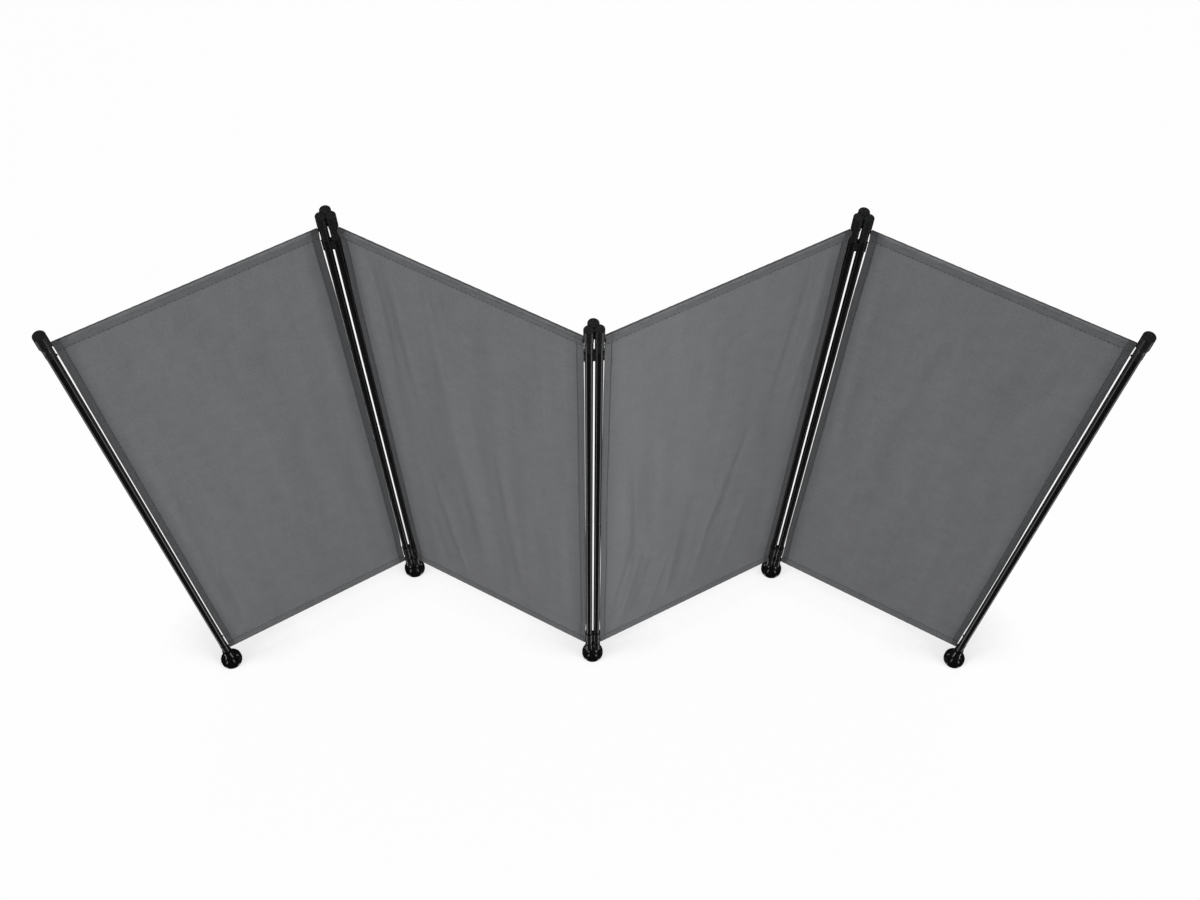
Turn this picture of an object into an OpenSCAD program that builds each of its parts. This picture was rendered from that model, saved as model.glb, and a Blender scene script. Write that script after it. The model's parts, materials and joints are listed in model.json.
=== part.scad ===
// Four-panel folding partition. Fabric panels hang between slim steel tubes.
// At each of the three hinge posts two tubes stand side by side and turn in
// moulded hubs; each end post is one thicker tube with a cap and a foot.
// All lengths are in millimetres, +Z is up and the floor is z = 0.

/* [Overall] */
// Height of the screen from the floor to the top of the caps
screen_h = 1700; // [1300:10:2100]
// Distance between the two tube axes of one panel
panel_span = 570; // [420:5:720]

/* [Fold at rest] */
// Turn of the left outer panel out of the straight line, in degrees
left_outer_turn = 30; // [8:0.5:45]
// Turn of the left inner panel out of the straight line, in degrees
left_inner_turn = 27; // [8:0.5:45]
// Turn of the right inner panel out of the straight line, in degrees
right_inner_turn = 28; // [8:0.5:45]
// Turn of the right outer panel out of the straight line, in degrees
right_outer_turn = 28; // [8:0.5:45]
// Turn of the left hinge post about its own upright axis, in degrees
left_hinge_turn = 8; // [-15:0.5:15]
// Turn of the centre hinge post about its own upright axis, in degrees
centre_hinge_turn = 7; // [-15:0.5:15]
// Turn of the right hinge post about its own upright axis, in degrees
right_hinge_turn = -5.5; // [-15:0.5:15]

/* [Tubes] */
// Outer diameter of the tubes at the hinge posts
hinge_tube_d = 16.5; // [14:0.5:22]
// Outer diameter of the tubes at the two end posts
end_tube_d = 20; // [16:0.5:26]
// Wall thickness of the tubes
tube_wall = 1; // [0.8:0.1:2]
// Clear gap between the two tubes of a hinge post
tube_gap = 3.7; // [3:0.1:6]
// Length of the dowel that joins an upper tube to a lower tube
dowel_h = 90; // [50:5:140]
// Wall thickness of the dowel
dowel_wall = 1.4; // [1:0.1:2.5]
// Height of the rim that shows between the joined tubes
dowel_rim_h = 1.2; // [0.8:0.1:4]
// How far that rim stands proud of the tubes
dowel_rim_out = 0.25; // [0.1:0.05:0.6]

/* [Top hubs and caps] */
// Height of the sockets that hold the tube tops
top_cup_h = 36; // [28:1:60]
// Thickness of the plastic above a tube's end
cup_roof = 6; // [3:0.5:10]
// Wall of a hinge hub's sockets
lobe_wall = 2.35; // [2.1:0.05:3.5]
// Distance of a top hub's rear lobe behind the line of the tubes
boss_back = 14; // [12:0.5:17]
// Diameter of that rear lobe
boss_d = 23.4; // [20:0.1:25]
// Width of the slot between the two front sockets
slot_w = 2.2; // [1:0.1:2.4]
// Height of the web over that slot
slot_roof = 5; // [5:0.5:14]
// Diameter of the pit where the three lobes of a top hub meet
pit_d = 3.5; // [2:0.1:4]
// Depth of that pit
pit_depth = 5.5; // [1:0.5:5.5]
// Width of the grooves between the lobes
groove_w = 1.6; // [0.6:0.1:2]
// Depth of those grooves
groove_depth = 1.4; // [0.3:0.1:1.5]
// Wall of an end cap
cap_wall = 3; // [2:0.1:4.5]
// Bevel around the top edges of caps and hubs
edge_bevel = 1.2; // [0.3:0.1:1.5]

/* [Bottom hubs] */
// Height of the sockets that the tubes stand in
bottom_cup_h = 39; // [28:1:60]
// Thickness of the plastic under a tube's end
cup_floor = 4; // [3:0.5:8]
// Diameter of the stem that joins a bottom hub to its foot
stem_d = 16; // [12:0.5:20]
// Length of that stem
stem_h = 22; // [12:1:34]
// Thickness of the rib behind the tubes, over a bottom hub
rib_t = 1.8; // [1.2:0.1:1.9]
// Depth of that rib from front to back
rib_depth = 4; // [2:0.5:5]
// Height of that rib
rib_h = 14; // [5:1:24]

/* [Feet] */
// Diameter of a foot on the floor
foot_d = 59; // [50:1:80]
// Height of a foot
foot_h = 52; // [44:1:70]
// Diameter of the neck of a hinge post's foot
foot_neck_d = 28; // [25:1:34]
// Height of the upright rim of a foot
foot_rim_h = 10; // [8:0.5:16]
// Width of the rounded shoulder inside that rim
foot_shoulder = 1.5; // [0.5:0.1:3]
// Depth of the hollow under a foot
foot_hollow_h = 8; // [4:0.5:8]
// Height of the collar above an end post's foot
collar_h = 20; // [12:1:34]
// Thickness of the rim around that hollow
foot_rim_w = 5; // [3:0.5:8]

/* [Corner fittings] */
// Wall of the sleeve around a tube
sleeve_wall = 0.65; // [0.5:0.05:0.9]
// Length of the sleeves near the top
top_sleeve_h = 35.7; // [25:0.1:60]
// Length of the sleeves near the bottom
bottom_sleeve_h = 26; // [20:1:60]
// Diameter of the spigot that enters a cross bar
spigot_d = 7; // [5:0.1:7.2]
// Length of the spigot inside the bar
spigot_in = 20; // [10:1:40]
// Height over which an end post's top sleeve tapers in from the cap
taper_h = 12; // [6:1:20]

/* [Stops on the tubes] */
// Diameter of the stop that keeps a clip from sliding along its tube
stop_d = 4; // [3:0.5:6]
// How far a stop stands out of the tube
stop_out = 2.4; // [1.5:0.1:3]
// Room above and below a stop
stop_room = 1; // [0.5:0.1:2]

/* [Clips] */
// Height of the double clip under a top hub
top_clip_h = 28; // [18:1:45]
// Height of the double clip over a bottom hub
bottom_clip_h = 49; // [25:1:70]
// Wall of a clip around its tubes
clip_wall = 2; // [1.5:0.1:2.6]
// How far the top clip reaches round the front of its tubes
clip_wrap = 4.5; // [3:0.5:6]
// Half depth of the web between the two rings of a clip
clip_web = 6; // [4:0.5:8]

/* [Cross bars] */
// Outer diameter of the bars in the hems
bar_d = 9; // [8.8:0.1:12]
// Wall thickness of the bars
bar_wall = 0.9; // [0.6:0.1:0.9]

/* [Fabric] */
// Thickness of the cloth
cloth_t = 0.8; // [0.6:0.1:2]
// Room between a bar and the hem around it
hem_room = 0.5; // [0.2:0.1:1.5]
// Gap between a tube and the edge of the cloth
side_gap = 3.3; // [3.2:0.1:8]
// Width of the doubled edge down each side
side_hem_w = 17; // [8:1:30]
// Extra thickness of that doubled edge on each face
side_hem_t = 0.3; // [0.2:0.1:0.8]
// Depth of the upright folds in the two inner panels
inner_fold = 1.8; // [0.2:0.1:3]
// Depth of the upright folds in the two outer panels
outer_fold = 0.8; // [0.2:0.1:3]
// Number of folds across a panel
fold_count = 5; // [2:1:8]

/* [Fits] */
// Radial clearance where one round piece turns or sits in another
fit = 0.05; // [0.02:0.01:0.1]
// Clearance between end faces
end_gap = 0.3; // [0.1:0.1:0.6]

/* [Hidden] */
$fn = 64;

// Panels and hinge posts are numbered from left to right.
LEFT_OUTER = 0;
LEFT_INNER = 1;
RIGHT_INNER = 2;
RIGHT_OUTER = 3;
LEFT_HINGE = 0;
CENTRE_HINGE = 1;
RIGHT_HINGE = 2;

cloth_grey = [0.40, 0.405, 0.415];
coated_black = [0.07, 0.07, 0.075];
plastic_black = [0.10, 0.10, 0.105];
foot_black = [0.04, 0.04, 0.045];
steel_grey = [0.55, 0.55, 0.57];

// Hinge post in plan: two tubes on the X axis, the hub's rear lobe behind them,
// and the foot under the centroid of the three.
hinge_pitch = hinge_tube_d + tube_gap;
foot_y = boss_back / 3;
bore_r = hinge_tube_d / 2 + fit;
lobe_r = bore_r + lobe_wall;
boss_r = boss_d / 2;
cap_r = end_tube_d / 2 + fit + cap_wall;
stem_r = stem_d / 2;

// Heights
top_cup_z = screen_h - top_cup_h;
bottom_cup_z = foot_h + bottom_cup_h;
tube_z0 = foot_h + cup_floor + end_gap;
tube_z1 = screen_h - cup_roof - end_gap;
tube_mid = (tube_z0 + tube_z1) / 2;
arm_room = 0.7;
hem_inner_r = bar_d / 2 + hem_room;
hem_outer_r = hem_inner_r + cloth_t;
top_bar_z = top_cup_z - arm_room - spigot_d / 2;
bottom_bar_z = bottom_cup_z + arm_room + spigot_d / 2;
top_sleeve_z0 = top_cup_z - end_gap - top_sleeve_h;
bottom_sleeve_z0 = bottom_cup_z + end_gap;
top_stop_z = top_sleeve_z0 - stop_room - stop_d / 2;
top_clip_z0 = top_stop_z - stop_d / 2 - stop_room - top_clip_h;
bottom_clip_z0 = bottom_sleeve_z0 + bottom_sleeve_h + stop_room;
bottom_stop_z = bottom_clip_z0 + bottom_clip_h + stop_room + stop_d / 2;

// Plan of the whole screen, worked out from the centre hinge post outwards.
turns = [left_outer_turn, -left_inner_turn, right_inner_turn, -right_outer_turn];
post_turns = [left_hinge_turn, centre_hinge_turn, right_hinge_turn];
function along(angle) = [cos(angle), sin(angle)];
function across(angle) = [-sin(angle), cos(angle)];
function half_pitch(h) = hinge_pitch / 2 * along(post_turns[h]);
centre_at = [0, 0];
left_inner_start = centre_at - half_pitch(CENTRE_HINGE) - panel_span * along(turns[LEFT_INNER]);
left_hinge_at = left_inner_start - half_pitch(LEFT_HINGE);
left_outer_start = left_hinge_at - half_pitch(LEFT_HINGE) - panel_span * along(turns[LEFT_OUTER]);
right_inner_start = centre_at + half_pitch(CENTRE_HINGE);
right_inner_end = right_inner_start + panel_span * along(turns[RIGHT_INNER]);
right_hinge_at = right_inner_end + half_pitch(RIGHT_HINGE);
right_outer_start = right_hinge_at + half_pitch(RIGHT_HINGE);
right_outer_end = right_outer_start + panel_span * along(turns[RIGHT_OUTER]);
panel_starts = [left_outer_start, left_inner_start, right_inner_start, right_outer_start];
hinge_posts = [left_hinge_at, centre_at, right_hinge_at];
end_posts = [left_outer_start, right_outer_end];

// The origin lies on the floor under the middle of the screen's outline.
foot_r = foot_d / 2;
hinge_feet = [for (h = [0:2]) hinge_posts[h] + foot_y * across(post_turns[h])];
foot_centres = concat(end_posts, hinge_feet);
low = [min([for (p = foot_centres) p.x]) - foot_r, min([for (p = foot_centres) p.y]) - foot_r];
high = [max([for (p = foot_centres) p.x]) + foot_r, max([for (p = foot_centres) p.y]) + foot_r];
middle = (low + high) / 2;

// Tube diameters at the left and right edge of each panel
edge_tubes = [
  [end_tube_d, hinge_tube_d],
  [hinge_tube_d, hinge_tube_d],
  [hinge_tube_d, hinge_tube_d],
  [hinge_tube_d, end_tube_d]
];
folds = [outer_fold, inner_fold, inner_fold, outer_fold];

// Echoed for the hinge axes and the resting faces
echo(panel_starts = [for (p = panel_starts) p - middle]);
echo(hinge_posts = [for (p = hinge_posts) p - middle]);
echo(end_posts = [for (p = end_posts) p - middle]);
echo(hinge_feet = [for (p = hinge_feet) p - middle]);
echo(plan_size = high - low, middle = middle);

module in_panel(p) {
  at = panel_starts[p] - middle;
  translate([at.x, at.y, 0]) rotate([0, 0, turns[p]]) children();
}

// From a panel's left or right tube axis, with +X towards the cloth
module facing_in(p, side) {
  in_panel(p) translate([side * panel_span, 0, 0]) rotate([0, 0, 180 * side]) children();
}

module in_hinge(h) {
  at = hinge_posts[h] - middle;
  translate([at.x, at.y, 0]) rotate([0, 0, post_turns[h]]) children();
}

module in_end(e) {
  at = end_posts[e] - middle;
  translate([at.x, at.y, 0]) children();
}

module pipe(d, wall, z0, z1) {
  difference() {
    translate([0, 0, z0]) cylinder(d = d, h = z1 - z0);
    translate([0, 0, z0 - 1]) cylinder(d = d - 2 * wall, h = z1 - z0 + 2);
  }
}

// A round post whose top edge is bevelled
module bevelled_post(r, z0, z1) {
  rotate_extrude()
    polygon([[0, z0], [r, z0], [r, z1 - edge_bevel], [r - edge_bevel, z1], [0, z1]]);
}

// ---- pieces of a panel, drawn from its left tube axis along +X ----

// Middle line of the cloth: upright folds that die out towards both edges
function fold_y(x, w, depth) = depth * sin(180 * x / w) * sin(360 * fold_count * x / w);

module cloth_web(w, depth, z0, z1) {
  steps = 12 * fold_count;
  inner = [for (i = [0:steps]) side_hem_w + (w - 2 * side_hem_w) * i / steps];
  thick = cloth_t / 2 + side_hem_t;
  thin = cloth_t / 2;
  // [distance along the panel, half thickness]
  edge = concat([[0, thick], [side_hem_w, thick]],
                [for (x = inner) [x, thin]],
                [[w - side_hem_w, thick], [w, thick]]);
  last = len(edge) - 1;
  front = [for (e = edge) [e[0], fold_y(e[0], w, depth) - e[1]]];
  back = [for (i = [last:-1:0]) [edge[i][0], fold_y(edge[i][0], w, depth) + edge[i][1]]];
  translate([0, 0, z0]) linear_extrude(z1 - z0) polygon(concat(front, back));
}

module hem_rod(r, length, z) {
  translate([0, 0, z]) rotate([0, 90, 0]) cylinder(r = r, h = length);
}

module fabric(p) {
  x0 = edge_tubes[p][0] / 2 + side_gap;
  w = panel_span - edge_tubes[p][1] / 2 - side_gap - x0;
  color(cloth_grey) in_panel(p) translate([x0, 0, 0]) difference() {
    union() {
      cloth_web(w, folds[p], bottom_bar_z, top_bar_z);
      hem_rod(hem_outer_r, w, bottom_bar_z);
      hem_rod(hem_outer_r, w, top_bar_z);
    }
    translate([-1, 0, 0]) hem_rod(hem_inner_r, w + 2, bottom_bar_z);
    translate([-1, 0, 0]) hem_rod(hem_inner_r, w + 2, top_bar_z);
  }
}

// A bar stops just short of the caps, so that a hub can turn over its end.
bar_room = 0.5;
function bar_start(d) = (d == hinge_tube_d ? lobe_r : cap_r) + bar_room;

module cross_bar(p, z) {
  x0 = bar_start(edge_tubes[p][0]);
  x1 = panel_span - bar_start(edge_tubes[p][1]);
  color(coated_black) in_panel(p) translate([x0, 0, z]) rotate([0, 90, 0]) difference() {
    cylinder(d = bar_d, h = x1 - x0);
    translate([0, 0, -1]) cylinder(d = bar_d - 2 * bar_wall, h = x1 - x0 + 2);
  }
}

// A length of tube with a stop pressed out of it on the cloth's side
module stopped_tube(d, z0, z1, stop_z) {
  pipe(d, tube_wall, z0, z1);
  difference() {
    translate([0, 0, stop_z]) rotate([0, 90, 0]) cylinder(d = stop_d, h = d / 2 + stop_out);
    translate([0, 0, stop_z - stop_d]) cylinder(r = d / 2 - tube_wall / 2, h = 2 * stop_d);
  }
}

module upper_tube(p, side) {
  color(coated_black) facing_in(p, side)
    stopped_tube(edge_tubes[p][side], tube_mid + dowel_rim_h / 2, tube_z1, top_stop_z);
}

module lower_tube(p, side) {
  color(coated_black) facing_in(p, side)
    stopped_tube(edge_tubes[p][side], tube_z0, tube_mid - dowel_rim_h / 2, bottom_stop_z);
}

module dowel(d) {
  body_d = d - 2 * tube_wall - 2 * fit;
  bore_d = body_d - 2 * dowel_wall;
  difference() {
    union() {
      translate([0, 0, tube_mid - dowel_h / 2]) cylinder(d = body_d, h = dowel_h);
      translate([0, 0, tube_mid - dowel_rim_h / 2])
        cylinder(d = d + 2 * dowel_rim_out, h = dowel_rim_h);
    }
    translate([0, 0, tube_mid - dowel_h / 2 - 1]) cylinder(d = bore_d, h = dowel_h + 2);
  }
}

module dowels(p) {
  color(steel_grey) in_panel(p) for (side = [0, 1])
    translate([side * panel_span, 0, 0]) dowel(edge_tubes[p][side]);
}

// A sleeve on the tube with a spigot into the cross bar, drawn towards +X.
// Its top is mouth_r wide, and tapers to the sleeve's own width.
module fitting(d, z0, h, bar_z, mouth_r) {
  sleeve_r = d / 2 + fit + sleeve_wall;
  z1 = z0 + h;
  difference() {
    union() {
      rotate_extrude() polygon([
        [0, z0], [sleeve_r, z0], [sleeve_r, z1 - taper_h], [max(mouth_r, sleeve_r), z1], [0, z1]
      ]);
      translate([0, 0, bar_z]) rotate([0, 90, 0])
        cylinder(d = spigot_d, h = bar_start(d) + spigot_in);
    }
    translate([0, 0, z0 - 1]) cylinder(r = d / 2 + fit, h = h + 2);
  }
}

module top_fittings(p) {
  color(plastic_black) for (side = [0, 1]) facing_in(p, side) {
    d = edge_tubes[p][side];
    fitting(d, top_sleeve_z0, top_sleeve_h, top_bar_z, d == hinge_tube_d ? 0 : cap_r - bar_room);
  }
}

module bottom_fittings(p) {
  color(plastic_black) for (side = [0, 1]) facing_in(p, side)
    fitting(edge_tubes[p][side], bottom_sleeve_z0, bottom_sleeve_h, bottom_bar_z, 0);
}

// ---- pieces of a hinge post, drawn from the middle between its tubes ----

tube_spots = [[-hinge_pitch / 2, 0], [hinge_pitch / 2, 0]];

// The chords in which the three lobes' circles cross meet in one point of X = 0.
half_gap = hinge_pitch / 2;
meet_y = (boss_back * boss_back - half_gap * half_gap + lobe_r * lobe_r - boss_r * boss_r)
  / (2 * boss_back);
side_groove = atan2(half_gap, boss_back);

module top_hub(h) {
  color(plastic_black) in_hinge(h) difference() {
    union() {
      for (s = tube_spots) translate([s.x, s.y, 0]) bevelled_post(lobe_r, top_cup_z, screen_h);
      translate([0, boss_back, 0]) bevelled_post(boss_r, top_cup_z, screen_h);
    }
    for (s = tube_spots) translate([s.x, s.y, top_cup_z - 1])
      cylinder(r = bore_r, h = top_cup_h - cup_roof + 1);
    translate([-slot_w / 2, -lobe_r, top_cup_z - 1])
      cube([slot_w, lobe_r, top_cup_h - slot_roof + 1]);
    translate([0, meet_y, screen_h - pit_depth]) cylinder(d = pit_d, h = pit_depth + 1);
    for (a = [-90, side_groove, 180 - side_groove])
      translate([0, meet_y, screen_h - groove_depth]) rotate([0, 0, a])
        translate([0, -groove_w / 2, 0]) cube([2 * lobe_r, groove_w, groove_depth + 1]);
  }
}

module rings(z0, h) {
  difference() {
    union() {
      for (s = tube_spots) translate([s.x, s.y, z0]) cylinder(r = bore_r + clip_wall, h = h);
      translate([-hinge_pitch / 2, -clip_web, z0]) cube([hinge_pitch, 2 * clip_web, h]);
    }
    for (s = tube_spots) translate([s.x, s.y, z0 - 1]) cylinder(r = bore_r, h = h + 2);
  }
}

// The top clip leaves the fronts of its tubes bare.
module top_clip(h) {
  reach = 2 * hinge_pitch;
  color(plastic_black) in_hinge(h) difference() {
    rings(top_clip_z0, top_clip_h);
    translate([-reach, -clip_wrap - reach, top_clip_z0 - 1])
      cube([2 * reach, reach, top_clip_h + 2]);
  }
}

module bottom_clip(h) {
  color(plastic_black) in_hinge(h) rings(bottom_clip_z0, bottom_clip_h);
}

module bottom_hub(h) {
  color(plastic_black) in_hinge(h) difference() {
    union() {
      for (s = tube_spots) translate([s.x, s.y, foot_h]) cylinder(r = lobe_r, h = bottom_cup_h);
      translate([-rib_t / 2, hinge_tube_d / 4, foot_h])
        cube([rib_t, rib_depth, bottom_cup_h + rib_h]);
      translate([0, foot_y, foot_h]) cylinder(d = foot_neck_d, h = cup_floor);
      translate([0, foot_y, foot_h - stem_h]) cylinder(r = stem_r, h = stem_h + cup_floor);
    }
    for (s = tube_spots) translate([s.x, s.y, foot_h + cup_floor])
      cylinder(r = bore_r, h = bottom_cup_h);
  }
}

// Outline of a foot: an upright rim, then a quarter of an ellipse that sweeps
// in and up to the neck, as a trumpet's bell does.
flare_steps = 14;
foot_edge = 1;
function bell(neck_r) = let (rim_r = foot_r - foot_shoulder, rim_z = foot_rim_h + foot_edge) [
  for (i = [0:flare_steps])
    let (a = 90 * i / flare_steps)
    [rim_r - (rim_r - neck_r) * sin(a), rim_z + (foot_h - rim_z) * (1 - cos(a))]
];

module foot_body(neck_r) {
  hollow_r = foot_r - foot_rim_w;
  rotate_extrude() polygon(concat(
    [[0, foot_hollow_h], [hollow_r, foot_hollow_h - foot_edge], [hollow_r, 0],
     [foot_r - foot_edge, 0], [foot_r, foot_edge], [foot_r, foot_rim_h]],
    bell(neck_r),
    [[0, foot_h]]));
}

module hinge_foot(h) {
  color(foot_black) in_hinge(h) translate([0, foot_y, 0]) difference() {
    foot_body(foot_neck_d / 2);
    translate([0, 0, foot_h - stem_h - end_gap]) cylinder(r = stem_r + fit, h = stem_h + 1);
  }
}

// ---- pieces of an end post ----

module end_cap(e) {
  color(plastic_black) in_end(e) difference() {
    bevelled_post(cap_r, top_cup_z, screen_h);
    translate([0, 0, top_cup_z - 1])
      cylinder(r = end_tube_d / 2 + fit, h = top_cup_h - cup_roof + 1);
  }
}

module end_foot(e) {
  color(foot_black) in_end(e) difference() {
    union() {
      foot_body(cap_r);
      translate([0, 0, foot_h - 1]) bevelled_post(cap_r, 0, collar_h + 1);
    }
    translate([0, 0, foot_h + cup_floor]) cylinder(r = end_tube_d / 2 + fit, h = collar_h);
  }
}

fabric(LEFT_OUTER);  // left_outer_fabric
cross_bar(LEFT_OUTER, top_bar_z);  // left_outer_top_bar
cross_bar(LEFT_OUTER, bottom_bar_z);  // left_outer_bottom_bar
upper_tube(LEFT_OUTER, 0);  // left_outer_left_upper_tube
lower_tube(LEFT_OUTER, 0);  // left_outer_left_lower_tube
upper_tube(LEFT_OUTER, 1);  // left_outer_right_upper_tube
lower_tube(LEFT_OUTER, 1);  // left_outer_right_lower_tube
dowels(LEFT_OUTER);  // left_outer_dowels
top_fittings(LEFT_OUTER);  // left_outer_top_fittings
bottom_fittings(LEFT_OUTER);  // left_outer_bottom_fittings

fabric(LEFT_INNER);  // left_inner_fabric
cross_bar(LEFT_INNER, top_bar_z);  // left_inner_top_bar
cross_bar(LEFT_INNER, bottom_bar_z);  // left_inner_bottom_bar
upper_tube(LEFT_INNER, 0);  // left_inner_left_upper_tube
lower_tube(LEFT_INNER, 0);  // left_inner_left_lower_tube
upper_tube(LEFT_INNER, 1);  // left_inner_right_upper_tube
lower_tube(LEFT_INNER, 1);  // left_inner_right_lower_tube
dowels(LEFT_INNER);  // left_inner_dowels
top_fittings(LEFT_INNER);  // left_inner_top_fittings
bottom_fittings(LEFT_INNER);  // left_inner_bottom_fittings

fabric(RIGHT_INNER);  // right_inner_fabric
cross_bar(RIGHT_INNER, top_bar_z);  // right_inner_top_bar
cross_bar(RIGHT_INNER, bottom_bar_z);  // right_inner_bottom_bar
upper_tube(RIGHT_INNER, 0);  // right_inner_left_upper_tube
lower_tube(RIGHT_INNER, 0);  // right_inner_left_lower_tube
upper_tube(RIGHT_INNER, 1);  // right_inner_right_upper_tube
lower_tube(RIGHT_INNER, 1);  // right_inner_right_lower_tube
dowels(RIGHT_INNER);  // right_inner_dowels
top_fittings(RIGHT_INNER);  // right_inner_top_fittings
bottom_fittings(RIGHT_INNER);  // right_inner_bottom_fittings

fabric(RIGHT_OUTER);  // right_outer_fabric
cross_bar(RIGHT_OUTER, top_bar_z);  // right_outer_top_bar
cross_bar(RIGHT_OUTER, bottom_bar_z);  // right_outer_bottom_bar
upper_tube(RIGHT_OUTER, 0);  // right_outer_left_upper_tube
lower_tube(RIGHT_OUTER, 0);  // right_outer_left_lower_tube
upper_tube(RIGHT_OUTER, 1);  // right_outer_right_upper_tube
lower_tube(RIGHT_OUTER, 1);  // right_outer_right_lower_tube
dowels(RIGHT_OUTER);  // right_outer_dowels
top_fittings(RIGHT_OUTER);  // right_outer_top_fittings
bottom_fittings(RIGHT_OUTER);  // right_outer_bottom_fittings

top_hub(LEFT_HINGE);  // left_hinge_top_hub
top_clip(LEFT_HINGE);  // left_hinge_top_clip
bottom_clip(LEFT_HINGE);  // left_hinge_bottom_clip
bottom_hub(LEFT_HINGE);  // left_hinge_bottom_hub
hinge_foot(LEFT_HINGE);  // left_hinge_foot

top_hub(CENTRE_HINGE);  // centre_hinge_top_hub
top_clip(CENTRE_HINGE);  // centre_hinge_top_clip
bottom_clip(CENTRE_HINGE);  // centre_hinge_bottom_clip
bottom_hub(CENTRE_HINGE);  // centre_hinge_bottom_hub
hinge_foot(CENTRE_HINGE);  // centre_hinge_foot

top_hub(RIGHT_HINGE);  // right_hinge_top_hub
top_clip(RIGHT_HINGE);  // right_hinge_top_clip
bottom_clip(RIGHT_HINGE);  // right_hinge_bottom_clip
bottom_hub(RIGHT_HINGE);  // right_hinge_bottom_hub
hinge_foot(RIGHT_HINGE);  // right_hinge_foot

end_cap(0);  // left_end_cap
end_foot(0);  // left_end_foot
end_cap(1);  // right_end_cap
end_foot(1);  // right_end_foot
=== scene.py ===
"""Looks of the four-panel folding screen: cloth, stitching, black steel and moulded plastic."""
import json
import math

import bpy
import numpy as np
from mathutils import Matrix, Vector


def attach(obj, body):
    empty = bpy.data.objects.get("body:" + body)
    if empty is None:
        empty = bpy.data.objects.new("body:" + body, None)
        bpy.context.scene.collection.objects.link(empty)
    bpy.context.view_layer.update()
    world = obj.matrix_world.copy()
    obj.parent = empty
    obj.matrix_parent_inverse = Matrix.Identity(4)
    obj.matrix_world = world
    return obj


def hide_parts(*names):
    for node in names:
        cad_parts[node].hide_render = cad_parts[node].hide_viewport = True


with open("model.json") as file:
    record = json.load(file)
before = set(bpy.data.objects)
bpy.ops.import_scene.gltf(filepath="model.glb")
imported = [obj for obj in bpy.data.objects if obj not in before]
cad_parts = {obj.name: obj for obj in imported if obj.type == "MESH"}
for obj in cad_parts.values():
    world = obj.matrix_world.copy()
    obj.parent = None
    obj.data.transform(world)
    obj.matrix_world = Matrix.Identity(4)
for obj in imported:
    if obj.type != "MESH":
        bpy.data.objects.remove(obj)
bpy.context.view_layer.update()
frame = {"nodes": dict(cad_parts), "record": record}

MM = 0.001

# ---------------------------------------------------------------- camera

# The camera stands 2.3 m above the tops and looks steeply down on the middle hinge post,
# rolled a little.
CAMERA_AT = (0.0110222, -1.6434196, 4.0313)
LOOK_DOWN = math.radians(61.50)
ROLL = math.radians(0.734)
LENS_MM = 44.606
FILM_MM = 36
FAR_AWAY = 60


def aim_camera():
    """Camera axes in words: forward is level +Y tipped down by LOOK_DOWN; right and up are
    the level pair at right angles to it, turned about it by ROLL."""
    forward = Vector((0, math.cos(LOOK_DOWN), -math.sin(LOOK_DOWN)))
    up = Vector((0, math.sin(LOOK_DOWN), math.cos(LOOK_DOWN)))
    right = Vector((1, 0, 0))
    rolled_right = right * math.cos(ROLL) + up * math.sin(ROLL)
    rolled_up = up * math.cos(ROLL) - right * math.sin(ROLL)
    data = bpy.data.cameras.new("camera")
    data.lens = LENS_MM
    data.sensor_width = FILM_MM
    data.clip_end = FAR_AWAY
    camera = bpy.data.objects.new("camera", data)
    axes = Matrix((rolled_right, rolled_up, -forward)).transposed().to_4x4()
    camera.matrix_world = Matrix.Translation(CAMERA_AT) @ axes
    bpy.context.scene.collection.objects.link(camera)
    bpy.context.scene.camera = camera


aim_camera()

# ---------------------------------------------------------------- plan of the screen

SPAN = 570 * MM
HINGE_TUBE_R = 8.25 * MM
END_TUBE_R = 10 * MM
PITCH = 20.2 * MM
FOOT_BACK = 14 * MM / 3
TURNS = {"left_outer": 30, "left_inner": -27, "right_inner": 28, "right_outer": -28}
POST_TURNS = {"left": 8, "centre": 7, "right": -5.5}
PANELS = list(TURNS)


def along(degrees):
    """Direction at this turn from +X, seen from above."""
    return np.array([math.cos(math.radians(degrees)), math.sin(math.radians(degrees))])


def plan():
    """Left tube axis of each panel, worked out from the centre hinge post outwards and then
    moved so that the middle of the feet's outline is the origin."""
    half = {n: PITCH / 2 * along(turn) for n, turn in POST_TURNS.items()}
    run = {n: SPAN * along(turn) for n, turn in TURNS.items()}
    left_inner = -half["centre"] - run["left_inner"]
    left_outer = left_inner - 2 * half["left"] - run["left_outer"]
    right_inner = half["centre"]
    right_outer = right_inner + run["right_inner"] + 2 * half["right"]
    posts = {"left": left_inner - half["left"], "centre": np.zeros(2),
             "right": right_outer - half["right"]}
    feet = [posts[n] + FOOT_BACK * along(turn + 90) for n, turn in POST_TURNS.items()]
    feet = np.array(feet + [left_outer, right_outer + run["right_outer"]])
    middle = (feet.min(0) + feet.max(0)) / 2
    starts = (left_outer, left_inner, right_inner, right_outer)
    return {n: start - middle for n, start in zip(PANELS, starts)}


STARTS = plan()


def in_panel(name, x, y, z):
    """World points of a panel's own x (along the cloth), y (through it) and z arrays."""
    ux = along(TURNS[name])
    uy = np.array([-ux[1], ux[0]])
    start = STARTS[name]
    return np.stack([start[0] + x * ux[0] + y * uy[0], start[1] + x * ux[1] + y * uy[1], z], -1)


# ---------------------------------------------------------------- meshes from grids


def grid_faces(rows, columns, ring=False):
    """Four corners of every cell of a grid of rows x columns points, numbered row by row. In
    a ring the last column is joined to the first."""
    row = np.arange(rows - 1)[:, None] * columns
    column = np.arange(columns if ring else columns - 1)[None, :]
    after = (column + 1) % columns
    above = row + columns
    return np.stack([row + column, above + column, above + after, row + after], -1).reshape(-1, 4)


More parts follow.
